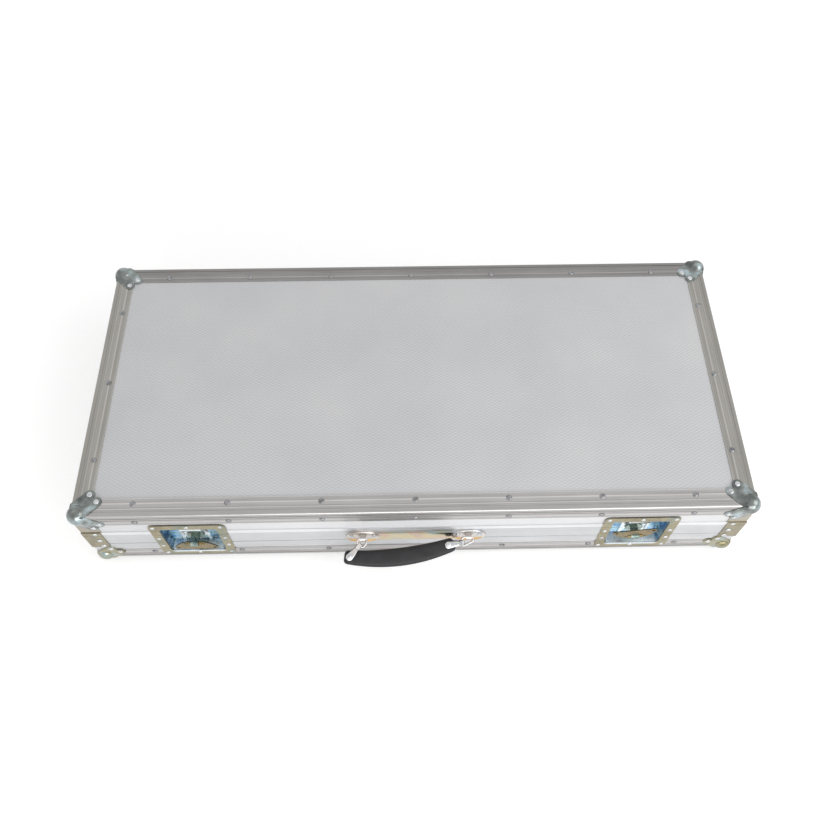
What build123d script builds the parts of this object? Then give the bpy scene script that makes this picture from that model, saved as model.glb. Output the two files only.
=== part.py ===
# Keyboard flight case: laminated ply panels in riveted aluminium edges, with
# ball corners, two recessed butterfly latches, three rear hinges, a strap
# handle, foam lining and rubber feet. Millimetres, +Z up, front face to -Y.
# The origin is under the middle of the whole outline, on the floor.
import os
from math import cos, radians, sin
from build123d import *

# Case, measured over the aluminium edges
case_length = 1020.0
case_depth = 470.0
case_height = 158.0
split_height = 90.0
seam_gap = 0.4
foot_height = 14.0

# Panels and the aluminium edge that holds them
panel_thickness = 7.0
skin = 1.5
inner_wall = 1.2
edge_leg = 30.0
edge_inner_leg = 23.0
edge_corner_radius = 3.0
reed_depth = 0.5
reed_width = 1.8
reed_steps = (7.0, 13.0)

# Rims where lid and base meet
base_rim_drop = 53.0
rim_groove_drop = 32.0
rim_groove = 1.6
rim_inner_drop = 20.0
tongue_height = 4.6
tongue_width = 3.0
lid_rim_rise = 11.0
lid_rim_inner_rise = 21.0
groove_clearance = 1.0

# Corner hardware
plate_thickness = 1.2
ball_radius = 17.5
ball_inset = 7.0
petal_near = 25.0
petal_far = 37.0
petal_lobe = 8.0
petal_sides = 8
brace_leg = 28.0
brace_clearance = 1.0

# Rivets along the edges
rivet_radius = 4.6
rivet_height = 1.5
rivet_sides = 8
rivet_inset = 21.0
rivet_pitch = 139.7

# Foam lining
foam = 20.0
foam_clearance = 0.3
foam_edge_gap = 3.0

# Feet
foot_top_radius = 19.0
foot_bottom_radius = 16.0
foot_inset = 75.0

# Butterfly latches
latch_spacing = 694.0
latch_width = 116.0
latch_below_split = 78.0
latch_above_split = 34.0
latch_border = 13.0
latch_corner = 9.0
recess_depth = 17.0
recess_draft = 12.0
recess_corner = 7.0
recess_clearance = 0.5
sliding_gap = 0.3
spindle_below_split = 32.0
guide_half_width = 20.0
guide_height = 44.0
rail_width = 2.0
hook_thickness = 2.0
cam_radius = 8.0
hook_travel = 7.0
cam_play = 1.1
axle_radius = 3.0
yoke_bar = 4.0
hook_bar_out = 5.5
neck_width = 15.0
hook_bar_width = 33.0
hook_bar_height = 7.0
hook_bar_rise = 3.0
disc_radius = 14.0
disc_thickness = 2.0
hub_width = 12.0
hub_radius = 5.0
pin_radius = 1.5
pin_running_gap = 0.08
knuckle_wall = 1.4
knuckle_width = 5.0
wing_half_length = 34.0
wing_tip_radius = 5.5
wing_straight_edge = 21.5
wing_crown = 8.0
wing_thickness = 1.6
wing_hole_radius = 2.5
right_turn = 11.0
keeper_arm = 4.0
keeper_height = 12.0
hub_gap = 0.4

# Strap handle
handle_spacing = 166.0
handle_below_split = 20.5
lozenge_length = 48.0
lozenge_height = 38.0
strap_height = 24.0
handle_corner = 7.0
plate_steel = 1.5
bridge_width = 9.0
bridge_steel = 1.6
bail_thickness = 3.6
bail_droop = 30.0
bail_shoulder = 6.6
bail_near_end = 5.2
bail_far_end = 6.4
left_bar_shift = 5.2
left_bar_drop = 10.5
right_bar_shift = 10.5
right_bar_drop = 8.2
left_rivet_shift = 20.2
left_rivet_drop = 26.8
right_rivet_shift = 31.7
right_rivet_drop = 10.9
clip_tail = 5.5
clip_width = 5.5
clip_steel = 1.2
clip_gap = 0.4
grip_thickness = 14.0
grip_end_height = 20.0
grip_mid_height = 27.0
grip_bow = 10.5
grip_end_length = 9.0
grip_edge = 3.5
clip_rivet_radius = 2.0

# Hinges on the rear face
hinge_spacing = 340.0
hinge_width = 72.0
leaf_height = 27.0
leaf_thickness = 2.0
barrel_radius = 4.5
barrel_clearance = 0.4
hinge_pin_radius = 2.5
hinge_pin_gap = 0.08
knuckle_count = 3
knuckle_side_gap = 0.3

# Worked out: where the case stands in the frame
bridge_inside = bail_thickness / 2 * 2**0.5 + sliding_gap
handle_pivot_out = bridge_steel + bridge_inside
handle_reach = (
    handle_pivot_out
    + ((left_rivet_drop + right_rivet_drop) / 2 + grip_bow + grip_mid_height / 2) * cos(radians(bail_droop))
    + grip_thickness / 2 * sin(radians(bail_droop))
)
ball_reach = ball_radius - ball_inset
front_y = (handle_reach - ball_reach - case_depth) / 2
rear_y = front_y + case_depth
mid_y = (front_y + rear_y) / 2
side_x = case_length / 2
bottom_z = foot_height
top_z = bottom_z + case_height
split_z = bottom_z + split_height
lid_bottom_z = split_z + seam_gap
wall = skin + panel_thickness
edge_inside = wall + inner_wall
rim_shelf_z = split_z - skin
lid_web_z = split_z + tongue_height + groove_clearance
lid_web_top_z = lid_web_z + inner_wall

os.makedirs("parts", exist_ok=True)


def save(shape, label):
    shape.label = label
    export_step(shape, f"parts/{label}.step")


# Each side of the case: a point on its outer face, the way inwards, its length
SIDES = {
    "front": (Vector(0, front_y, 0), Vector(0, 1, 0), case_length),
    "right": (Vector(side_x, mid_y, 0), Vector(-1, 0, 0), case_depth),
    "rear": (Vector(0, rear_y, 0), Vector(0, -1, 0), case_length),
    "left": (Vector(-side_x, mid_y, 0), Vector(1, 0, 0), case_depth),
}
UP = Vector(0, 0, 1)
DOWN = Vector(0, 0, -1)
CORNERS = [(sx, sy) for sx in (-1, 1) for sy in (-1, 1)]
LOW = (Align.MIN, Align.MIN)


def corner_point(sx, sy, height):
    y = front_y if sy < 0 else rear_y
    return Vector(sx * side_x, y, height)


def section_plane(side, height, upward):
    # Local x points into the case, local y along upward, from the outer edge
    point, inward, _ = SIDES[side]
    origin = Vector(point.X, point.Y, height)
    return Plane(origin=origin, x_dir=inward, z_dir=inward.cross(upward))


def front_plane(x, z, out=0.0, turned=0.0):
    # Normal out of the front face; local x to the right, turned anticlockwise
    to_right = (cos(radians(turned)), 0, sin(radians(turned)))
    return Plane(origin=(x, front_y - out, z), x_dir=to_right, z_dir=(0, -1, 0))


def mitre(side):
    # Keeps the part's own stretch, cut at 45 degrees in plan at both ends
    point, inward, length = SIDES[side]
    along = UP.cross(inward)
    inset = inward * edge_leg
    start = point - along * (length / 2)
    end = point + along * (length / 2)
    corners = [start, end, end + inset - along * edge_leg, start + inset + along * edge_leg]
    with BuildSketch(Plane.XY) as stretch:
        Polygon(*[(c.X, c.Y) for c in corners], align=None)
    extrude(stretch.sketch, amount=top_z + case_height, mode=Mode.INTERSECT)


def edge_section():
    # Outer angle with reeds, and an inner angle that makes two panel channels
    Rectangle(edge_leg, skin, align=LOW)
    Rectangle(skin, edge_leg, align=LOW)
    with Locations((wall, wall)):
        Rectangle(edge_inner_leg - wall, inner_wall, align=LOW)
        Rectangle(inner_wall, edge_inner_leg - wall, align=LOW)
    with Locations((wall, skin)):
        Rectangle(inner_wall, panel_thickness, align=LOW)
    with Locations((skin, wall)):
        Rectangle(panel_thickness, inner_wall, align=LOW)
    for step in reed_steps:
        with Locations((step, 0)):
            Rectangle(reed_width, reed_depth, align=LOW, mode=Mode.SUBTRACT)
        with Locations((0, step)):
            Rectangle(reed_depth, reed_width, align=LOW, mode=Mode.SUBTRACT)


def latch_pockets():
    # Room for both latch recesses, cut right through the front wall
    height = latch_below_split + latch_above_split - 2 * latch_border
    middle = split_z + (latch_above_split - latch_below_split) / 2
    for sx in (-1, 1):
        with BuildSketch(front_plane(sx * latch_spacing / 2, middle, out=skin)) as pocket:
            RectangleRounded(
                latch_width - 2 * (latch_border - recess_clearance),
                height + 2 * recess_clearance,
                recess_corner,
            )
        depth = recess_depth + 2 * skin + foam_clearance
        extrude(pocket.sketch, amount=-depth, mode=Mode.SUBTRACT)


# Outer edges of the lid and the base
for piece, height, upward in (("base", bottom_z, UP), ("lid", top_z, DOWN)):
    for side, (_, _, length) in SIDES.items():
        with BuildPart() as edge:
            with BuildSketch(section_plane(side, height, upward)) as section:
                edge_section()
                fillet(section.vertices().sort_by_distance((0, 0))[0], edge_corner_radius)
            extrude(amount=length / 2, both=True)
            mitre(side)
            if side == "front":
                latch_pockets()
        save(edge.part, f"{piece}_{side}_edge")

# Rim of the base, with the tongue that rises into the lid
for side, (_, _, length) in SIDES.items():
    with BuildPart() as base_rim:
        with BuildSketch(section_plane(side, split_z, DOWN)):
            Rectangle(skin, base_rim_drop, align=LOW)
            Rectangle(edge_inside, skin, align=LOW)
            with Locations((wall, 0)):
                Rectangle(inner_wall, rim_inner_drop, align=LOW)
            with Locations((wall - panel_thickness / 2, 0)):
                Rectangle(tongue_width, tongue_height, align=(Align.CENTER, Align.MAX))
            with Locations((0, rim_groove_drop)):
                Rectangle(reed_depth, rim_groove, align=LOW, mode=Mode.SUBTRACT)
        extrude(amount=length / 2, both=True)
        mitre(side)
        if side == "front":
            latch_pockets()
    save(base_rim.part, f"base_{side}_rim")

# Rim of the lid, with the groove for the tongue
for side, (_, _, length) in SIDES.items():
    with BuildPart() as lid_rim:
        with BuildSketch(section_plane(side, lid_bottom_z, UP)):
            Rectangle(skin, lid_rim_rise - seam_gap, align=LOW)
            with Locations((wall, 0)):
                Rectangle(inner_wall, lid_rim_inner_rise, align=LOW)
            with Locations((0, lid_web_z - lid_bottom_z)):
                Rectangle(edge_inside, inner_wall, align=LOW)
        extrude(amount=length / 2, both=True)
        mitre(side)
        if side == "front":
            latch_pockets()
    save(lid_rim.part, f"lid_{side}_rim")

# Wall panels, held between the edge's channel and the rim's shelf
for piece, low_z, high_z in (
    ("base", bottom_z + edge_inside, rim_shelf_z),
    ("lid", lid_web_top_z, top_z - edge_inside),
):
    for side, (point, inward, length) in SIDES.items():
        with BuildPart() as wall_panel:
            across = skin if side in ("front", "rear") else wall
            with BuildSketch(Plane(origin=point + inward * skin, x_dir=UP.cross(inward), z_dir=inward)):
                with Locations((0, (low_z + high_z) / 2)):
                    Rectangle(length - 2 * across, high_z - low_z)
            extrude(amount=panel_thickness)
            if side == "front":
                latch_pockets()
        save(wall_panel.part, f"{piece}_{side}_panel")

# Floor and top panels
for label, low_z in (("base_floor_panel", bottom_z + skin), ("lid_top_panel", top_z - wall)):
    with BuildPart() as flat_panel:
        with BuildSketch(Plane.XY.offset(low_z)):
            with Locations((0, mid_y)):
                Rectangle(case_length - 2 * edge_inside, case_depth - 2 * edge_inside)
        extrude(amount=panel_thickness)
    save(flat_panel.part, label)


def corner_frame(sx, sy, height, up):
    # Local axes run from the case's corner inwards along its three edges
    return corner_point(sx, sy, height), Vector(-sx, 0, 0), Vector(0, -sy, 0), up


def petal():
    # One face of a ball corner: a root wrapped round the edges, and two lobes
    slant = petal_lobe * cos(radians(45))
    root = petal_far - petal_near + 2 * slant - plate_thickness
    Polygon(
        (-plate_thickness, -plate_thickness),
        (root, -plate_thickness),
        (petal_far + slant, petal_near - slant),
        (petal_far, petal_near),
        (petal_near, petal_far),
        (petal_near - slant, petal_far + slant),
        (-plate_thickness, root),
        align=None,
    )
    with Locations((petal_far, petal_near), (petal_near, petal_far)):
        RegularPolygon(petal_lobe, petal_sides, major_radius=False, rotation=180 / petal_sides)


# Ball corners: a pressed ball over the corner and a riveted petal on each face
for piece, height, up in (("base", bottom_z, UP), ("lid", top_z, DOWN)):
    with BuildPart() as ball_corners:
        for sx, sy in CORNERS:
            point, in_x, in_y, in_z = corner_frame(sx, sy, height, up)
            for first, second, out in (
                (in_x, in_y, -in_z),
                (in_x, in_z, -in_y),
                (in_y, in_z, -in_x),
            ):
                normal = first.cross(second)
                with BuildSketch(Plane(origin=point, x_dir=first, z_dir=normal)):
                    petal()
                extrude(amount=plate_thickness * normal.dot(out))
            centre = point + (in_x + in_y + in_z) * ball_inset
            with Locations((centre.X, centre.Y, centre.Z)):
                Sphere(ball_radius)
        with Locations((0, mid_y, (bottom_z + top_z) / 2)):
            Box(case_length, case_depth, case_height, mode=Mode.SUBTRACT)
    save(ball_corners.part, f"{piece}_ball_corners")

# Corner braces over the rims' mitred joints, and the lid's short corner posts
petal_tip = petal_far + petal_lobe
for label, low_z, high_z, leg, thickness, out in (
    ("base_corner_braces", bottom_z + petal_tip + brace_clearance, split_z, brace_leg,
     plate_thickness, plate_thickness),
    ("lid_corner_braces", lid_bottom_z, split_z + lid_rim_rise, brace_leg,
     plate_thickness, plate_thickness),
    ("lid_corner_posts", split_z + lid_rim_rise, top_z - edge_leg, edge_leg, skin, 0.0),
):
    with BuildPart() as angles:
        for sx, sy in CORNERS:
            point = corner_point(sx, sy, 0) + Vector(sx, sy, 0) * out
            with BuildSketch(Plane.XY.offset(low_z)):
                with Locations((point.X, point.Y)):
                    across = (Align.MAX if sx > 0 else Align.MIN, Align.MAX if sy > 0 else Align.MIN)
                    Rectangle(leg + out, thickness, align=across)
                    Rectangle(thickness, leg + out, align=across)
            extrude(amount=high_z - low_z)
    save(angles.part, label)

# Rivets along the outer edges, as groups of heads
long_steps = [step * rivet_pitch for step in range(-3, 4)]
short_steps = [step * rivet_pitch for step in range(-1, 2)]
for piece, height, out in (("base", bottom_z, -1), ("lid", top_z, 1)):
    with BuildPart() as rivets:
        for side, (point, inward, length) in SIDES.items():
            along = UP.cross(inward)
            steps = long_steps if length == case_length else short_steps
            for step in steps:
                flat = point + along * step + inward * rivet_inset
                upright = point + along * step
                faces = [Plane(origin=(flat.X, flat.Y, height), z_dir=(0, 0, out))]
                level = height - out * rivet_inset
                covered = side == "front" and abs(abs(step) - latch_spacing / 2) < latch_width / 2
                if not covered or piece == "lid":
                    faces.append(Plane(origin=(upright.X, upright.Y, level), z_dir=-inward))
                for face in faces:
                    with BuildSketch(face):
                        RegularPolygon(rivet_radius, rivet_sides)
                    extrude(amount=rivet_height)
    save(rivets.part, f"{piece}_rivets")

# Rubber feet under the floor panel
with BuildPart() as feet:
    for sx, sy in CORNERS:
        x = sx * (side_x - foot_inset)
        y = mid_y + sy * (case_depth / 2 - foot_inset)
        with BuildSketch(Plane.XY):
            with Locations((x, y)):
                Circle(foot_bottom_radius)
        with BuildSketch(Plane.XY.offset(bottom_z + skin)):
            with Locations((x, y)):
                Circle(foot_top_radius)
        loft()
save(feet.part, "rubber_feet")

# Foam lining: a floor pad and a lid pad, each inside a ring on the walls
inside_length = case_length - 2 * edge_inside - 2 * foam_clearance
inside_depth = case_depth - 2 * edge_inside - 2 * foam_clearance
base_foam_z = bottom_z + edge_inside + foam_clearance
lid_foam_z = top_z - edge_inside - foam_clearance
latch_notch = latch_width - 2 * latch_border + 4 * foam_clearance
for piece, low_z, high_z in (
    ("base", base_foam_z, split_z - foam_edge_gap),
    ("lid", split_z + foam_edge_gap, lid_foam_z),
):
    with BuildPart() as foam_ring:
        with BuildSketch(Plane.XY.offset(low_z)):
            with Locations((0, mid_y)):
                Rectangle(inside_length, inside_depth)
                Rectangle(inside_length - 2 * foam, inside_depth - 2 * foam, mode=Mode.SUBTRACT)
        extrude(amount=high_z - low_z)
        notch_low = split_z - latch_below_split
        notch_high = split_z + latch_above_split
        for sx in (-1, 1):
            with BuildSketch(Plane.XY.offset(notch_low)):
                with Locations((sx * latch_spacing / 2, front_y + edge_inside)):
                    Rectangle(latch_notch, 2 * (recess_depth + 2 * foam_clearance - wall))
            extrude(amount=notch_high - notch_low, mode=Mode.SUBTRACT)
    save(foam_ring.part, f"{piece}_foam_ring")
    with BuildPart() as foam_pad:
        pad_z = base_foam_z if piece == "base" else lid_foam_z - foam
        with BuildSketch(Plane.XY.offset(pad_z)):
            with Locations((0, mid_y)):
                Rectangle(
                    inside_length - 2 * foam - 2 * foam_clearance,
                    inside_depth - 2 * foam - 2 * foam_clearance,
                )
        extrude(amount=foam)
    save(foam_pad.part, f"{piece}_foam_pad")

# Latch recesses: one pressed dish with a riveted flange, parted at the split
recess_middle = split_z + (latch_above_split - latch_below_split) / 2
recess_height = latch_below_split + latch_above_split
opening_width = latch_width - 2 * latch_border
opening_height = recess_height - 2 * latch_border
for label, low_z, high_z in (
    ("latch_lower_dishes", bottom_z, split_z),
    ("latch_upper_dishes", lid_bottom_z, top_z),
):
    with BuildPart() as dishes:
        for sx in (-1, 1):
            x = sx * latch_spacing / 2
            inward_plane = Plane(origin=(x, front_y, recess_middle), x_dir=(1, 0, 0), z_dir=(0, 1, 0))
            with BuildSketch(inward_plane):
                RectangleRounded(opening_width, opening_height, recess_corner)
            extrude(amount=recess_depth + plate_thickness, taper=recess_draft)
            with BuildSketch(inward_plane.offset(-plate_thickness)):
                RectangleRounded(latch_width, recess_height, latch_corner)
            extrude(amount=plate_thickness)
            with BuildSketch(inward_plane):
                RectangleRounded(
                    opening_width - 2 * plate_thickness,
                    opening_height - 2 * plate_thickness,
                    recess_corner - plate_thickness,
                )
            extrude(amount=recess_depth, taper=recess_draft, mode=Mode.SUBTRACT)
            with BuildSketch(inward_plane):
                RectangleRounded(
                    opening_width - 2 * plate_thickness,
                    opening_height - 2 * plate_thickness,
                    recess_corner - plate_thickness,
                )
            extrude(amount=-plate_thickness, mode=Mode.SUBTRACT)
        with BuildSketch(Plane.XY.offset(low_z)):
            with Locations((0, front_y)):
                Rectangle(case_length, case_depth)
        extrude(amount=high_z - low_z, mode=Mode.INTERSECT)
    save(dishes.part, label)

# Depths inside the recess, counted outwards from the front face
floor_out = -recess_depth
guide_out = floor_out + plate_thickness
hook_out = guide_out + sliding_gap
hook_front_out = hook_out + hook_thickness
disc_out = hook_front_out + sliding_gap
disc_front_out = disc_out + disc_thickness
pin_out = plate_thickness + sliding_gap + wing_thickness / 2
spindle_z = split_z - spindle_below_split
eccentric = hook_travel / 2
window_half_height = cam_radius + cam_play
window_half_width = cam_radius + eccentric + cam_play
knuckle_radius = pin_radius + pin_running_gap + knuckle_wall
pin_half_length = hub_width / 2 + hub_gap + knuckle_width

# Guides: a plate on the recess floor with two rails that hold the hook
with BuildPart() as guides:
    for sx in (-1, 1):
        x = sx * latch_spacing / 2
        rail_x = guide_half_width + sliding_gap
        with BuildSketch(front_plane(x, spindle_z, out=floor_out)):
            Rectangle(2 * (rail_x + rail_width), guide_height)
            Circle(axle_radius + pin_running_gap, mode=Mode.SUBTRACT)
        extrude(amount=plate_thickness)
        with BuildSketch(front_plane(x, spindle_z, out=guide_out)):
            with Locations((-rail_x - rail_width / 2, 0), (rail_x + rail_width / 2, 0)):
                Rectangle(rail_width, guide_height)
        extrude(amount=disc_out - guide_out)
        with BuildSketch(front_plane(x, spindle_z, out=disc_out)):
            with Locations((-rail_x, 0), (rail_x, 0)):
                Rectangle(2 * rail_width, guide_height)
        extrude(amount=plate_thickness)
save(guides.part, "latch_guides")

# Keepers on the lid: two arms that the hook's bar lies in front of
with BuildPart() as keepers:
    for sx in (-1, 1):
        x = sx * latch_spacing / 2
        keeper_low = split_z + hook_bar_rise
        with BuildSketch(front_plane(x, keeper_low, out=floor_out)):
            Rectangle(hook_bar_width + neck_width / 2, keeper_height, align=(Align.CENTER, Align.MIN))
        extrude(amount=plate_thickness)
        with BuildSketch(front_plane(x, keeper_low + (hook_bar_height - keeper_arm) / 2, out=guide_out)):
            Rectangle(hook_bar_width, keeper_arm, align=(Align.CENTER, Align.MIN))
            Rectangle(neck_width + 2 * cam_play, 2 * keeper_arm, mode=Mode.SUBTRACT)
        extrude(amount=-hook_bar_out - sliding_gap - guide_out)
save(keepers.part, "latch_keepers")

# Hook, spindle, pin and wing of each latch; the right wing is folded over
for hand, sx, turned, folded in (("left", -1, 0.0, 0.0), ("right", 1, right_turn, 180.0)):
    x = sx * latch_spacing / 2
    lift = hook_travel * turned / 180
    yoke_z = spindle_z - eccentric + lift
    bar_z = split_z + hook_bar_rise + lift
    with BuildPart() as hook:
        with BuildSketch(front_plane(x, yoke_z, out=hook_out)):
            Rectangle(2 * guide_half_width, 2 * (window_half_height + yoke_bar))
            with Locations((0, window_half_height)):
                Rectangle(
                    neck_width,
                    bar_z + keeper_arm - yoke_z - window_half_height,
                    align=(Align.CENTER, Align.MIN),
                )
            RectangleRounded(
                2 * window_half_width,
                2 * window_half_height,
                recess_corner / 2,
                mode=Mode.SUBTRACT,
            )
        extrude(amount=hook_thickness)
        with BuildSketch(front_plane(x, bar_z + keeper_arm, out=hook_front_out)):
            Rectangle(neck_width, 2 * keeper_arm, align=(Align.CENTER, Align.MAX))
        extrude(amount=-hook_bar_out - hook_front_out)
        with BuildSketch(front_plane(x, bar_z, out=-hook_bar_out)):
            Rectangle(hook_bar_width, hook_bar_height, align=(Align.CENTER, Align.MIN))
        extrude(amount=hook_thickness)
    save(hook.part, f"{hand}_latch_hook")
    pin_plane = front_plane(x, spindle_z, out=pin_out, turned=turned)
    side_on = Plane(origin=pin_plane.origin, x_dir=pin_plane.y_dir, z_dir=pin_plane.x_dir)
    with BuildPart() as spindle:
        with BuildSketch(front_plane(x, spindle_z, out=floor_out + sliding_gap)):
            Circle(axle_radius)
        extrude(amount=hook_out - floor_out)
        with BuildSketch(front_plane(x, spindle_z, out=hook_out, turned=turned)):
            with Locations((0, -eccentric)):
                Circle(cam_radius)
        extrude(amount=disc_out - hook_out)
        with BuildSketch(front_plane(x, spindle_z, out=disc_out)):
            Circle(disc_radius)
        extrude(amount=disc_thickness)
        with BuildSketch(front_plane(x, spindle_z, out=disc_front_out, turned=turned)):
            Rectangle(hub_width, 2 * hub_radius)
        extrude(amount=pin_out - disc_front_out)
        with BuildSketch(side_on):
            Circle(hub_radius)
        extrude(amount=hub_width / 2, both=True)
        with BuildSketch(side_on):
            Circle(pin_radius)
        extrude(amount=hub_width, both=True, mode=Mode.SUBTRACT)
    save(spindle.part, f"{hand}_latch_spindle")
    with BuildPart() as wing_pin:
        with BuildSketch(side_on):
            Circle(pin_radius)
        extrude(amount=pin_half_length, both=True)
    save(wing_pin.part, f"{hand}_latch_pin")
    wing_plane = front_plane(x, spindle_z, out=pin_out, turned=turned + folded)
    tip_x = wing_half_length - wing_tip_radius
    tip_y = wing_tip_radius - wing_straight_edge
    tip = Vector(wing_tip_radius * cos(radians(45)), wing_tip_radius * sin(radians(45)))
    with BuildPart() as wing:
        with BuildSketch(wing_plane):
            with BuildLine():
                Line((-tip_x, -wing_straight_edge), (tip_x, -wing_straight_edge))
                ThreePointArc(
                    (tip_x, -wing_straight_edge),
                    (wing_half_length, tip_y),
                    (tip_x + tip.X, tip_y + tip.Y),
                )
                ThreePointArc(
                    (tip_x + tip.X, tip_y + tip.Y),
                    (0, wing_crown),
                    (-tip_x - tip.X, tip_y + tip.Y),
                )
                ThreePointArc(
                    (-tip_x - tip.X, tip_y + tip.Y),
                    (-wing_half_length, tip_y),
                    (-tip_x, -wing_straight_edge),
                )
            make_face()
            with Locations((-tip_x, tip_y), (tip_x, tip_y)):
                Circle(wing_hole_radius, mode=Mode.SUBTRACT)
        extrude(amount=wing_thickness / 2, both=True)
        with BuildSketch(side_on):
            Circle(knuckle_radius)
        extrude(amount=pin_half_length, both=True)
        with BuildSketch(wing_plane):
            with Locations((0, -hub_radius - sliding_gap)):
                Rectangle(
                    hub_width + 2 * hub_gap,
                    wing_crown + 2 * hub_radius,
                    align=(Align.CENTER, Align.MIN),
                )
        extrude(amount=hub_radius, both=True, mode=Mode.SUBTRACT)
        with BuildSketch(side_on):
            Circle(pin_radius + pin_running_gap)
        extrude(amount=hub_width + knuckle_width, both=True, mode=Mode.SUBTRACT)
    save(wing.part, f"{hand}_latch_wing")

# Handle: a lozenge-ended strap plate with two bridges for the bails
pivot_z = split_z - handle_below_split
staple_x = handle_spacing / 2
with BuildPart() as handle_plate:
    with BuildSketch(front_plane(0, pivot_z)) as plate_outline:
        for sx in (-1, 1):
            with Locations((sx * staple_x, 0)):
                Polygon(
                    (-lozenge_length / 2, 0),
                    (0, lozenge_height / 2),
                    (lozenge_length / 2, 0),
                    (0, -lozenge_height / 2),
                )
        fillet(plate_outline.vertices(), handle_corner)
        Rectangle(handle_spacing, strap_height)
    extrude(amount=plate_steel)
    for sx in (-1, 1):
        middle = (sx * staple_x, front_y, pivot_z)
        with BuildSketch(Plane(origin=middle, x_dir=(0, -1, 0), z_dir=(1, 0, 0))):
            Rectangle(handle_pivot_out, 2 * (bridge_inside + bridge_steel), align=(Align.MIN, Align.CENTER))
            with Locations((handle_pivot_out, 0)):
                Circle(bridge_inside + bridge_steel)
            with Locations((plate_steel, 0)):
                Rectangle(
                    handle_pivot_out - plate_steel,
                    2 * bridge_inside,
                    align=(Align.MIN, Align.CENTER),
                    mode=Mode.SUBTRACT,
                )
            with Locations((handle_pivot_out, 0)):
                Circle(bridge_inside, mode=Mode.SUBTRACT)
        extrude(amount=bridge_width / 2, both=True)
save(handle_plate.part, "handle_plate")

# The handle's own plane droops from the pivot line; local y points back to it
droop = radians(bail_droop)
handle_plane = Plane(
    origin=(0, front_y - handle_pivot_out, pivot_z), x_dir=(1, 0, 0), z_dir=(0, -sin(droop), cos(droop))
)
staples = [Vector(-staple_x, 0), Vector(staple_x, 0)]
bars = [
    staples[0] - Vector(left_bar_shift, left_bar_drop),
    staples[1] - Vector(right_bar_shift, right_bar_drop),
]
rivet_points = [
    staples[0] - Vector(left_rivet_shift, left_rivet_drop),
    staples[1] - Vector(right_rivet_shift, right_rivet_drop),
]
leans = [(rivet - bar).normalized() for rivet, bar in zip(rivet_points, bars)]
staple_half = bridge_width / 2 + clip_gap + bail_thickness / 2

with BuildPart() as bails:
    for staple, lean, bar in zip(staples, leans, bars):
        across_bar = Vector(-lean.Y, lean.X)
        corners = [
            staple + Vector(staple_half, 0),
            staple - Vector(staple_half, 0),
            bar - across_bar * bail_near_end,
            bar + across_bar * bail_far_end,
            staple + Vector(staple_half, -bail_shoulder),
        ]
        with BuildSketch(handle_plane):
            Polygon(*[(c.X, c.Y) for c in corners], align=None)
            offset(amount=bail_thickness / 2, kind=Kind.ARC)
            offset(amount=-bail_thickness, kind=Kind.INTERSECTION, mode=Mode.SUBTRACT)
        extrude(amount=bail_thickness / 2, both=True)
save(bails.part, "handle_bails")

with BuildPart() as clips:
    barrel = bail_thickness / 2 * 2**0.5 + sliding_gap / 2
    half = grip_thickness / 2
    flare = 5.0
    for lean, bar, rivet in zip(leans, bars, rivet_points):
        reach = (rivet - bar).length + clip_tail
        along = handle_plane.x_dir * lean.X + handle_plane.y_dir * lean.Y
        origin = handle_plane.from_local_coords((bar.X, bar.Y, 0))
        with BuildSketch(Plane(origin=origin, x_dir=along, z_dir=along.cross(handle_plane.z_dir))):
            Polygon(
                (0, barrel + clip_steel),
                (flare, half + clip_steel),
                (reach, half + clip_steel),
                (reach, -half - clip_steel),
                (flare, -half - clip_steel),
                (0, -barrel - clip_steel),
                align=None,
            )
            Circle(barrel + clip_steel)
            Polygon(
                (0, barrel),
                (flare - clip_steel / 2, half),
                (2 * reach, half),
                (2 * reach, -half),
                (flare - clip_steel / 2, -half),
                (0, -barrel),
                align=None,
                mode=Mode.SUBTRACT,
            )
            Circle(barrel, mode=Mode.SUBTRACT)
        extrude(amount=clip_width / 2, both=True)
save(clips.part, "handle_clips")

# Grip: a bowed strap, thicker in the middle, riveted through the clips
left_rivet, right_rivet = rivet_points
chord = (right_rivet - left_rivet).normalized()
bow = Vector(chord.Y, -chord.X)
middle = (left_rivet + right_rivet) * 0.5
with BuildPart() as grip:
    with BuildSketch(handle_plane) as grip_outline:
        left_end = left_rivet - chord * grip_end_length
        right_end = right_rivet + chord * grip_end_length
        half_end = bow * (grip_end_height / 2)
        half_mid = bow * (grip_mid_height / 2)
        bowed = middle + bow * grip_bow
        with BuildLine():
            ThreePointArc(left_end - half_end, bowed - half_mid, right_end - half_end)
            Line(right_end - half_end, right_end + half_end)
            ThreePointArc(right_end + half_end, bowed + half_mid, left_end + half_end)
            Line(left_end + half_end, left_end - half_end)
        make_face()
        fillet(grip_outline.vertices(), 2 * grip_edge)
    extrude(amount=grip_thickness / 2, both=True)
    chamfer(grip.faces().filter_by(handle_plane).edges(), grip_edge)
    with BuildSketch(handle_plane):
        with Locations(*[(p.X, p.Y) for p in rivet_points]):
            Circle(clip_rivet_radius)
    extrude(amount=grip_thickness, both=True, mode=Mode.SUBTRACT)
save(grip.part, "handle_grip")

with BuildPart() as clip_rivets:
    with BuildSketch(handle_plane):
        with Locations(*[(p.X, p.Y) for p in rivet_points]):
            Circle(clip_rivet_radius)
    extrude(amount=grip_thickness / 2, both=True)
save(clip_rivets.part, "handle_rivets")

# Hinges: leaves on the rear rims that share a pin on the parting line
hinge_out = barrel_radius + barrel_clearance
hinge_y = rear_y + hinge_out
hinge_z = split_z + seam_gap / 2
knuckle_pitch = hinge_width / knuckle_count


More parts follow.
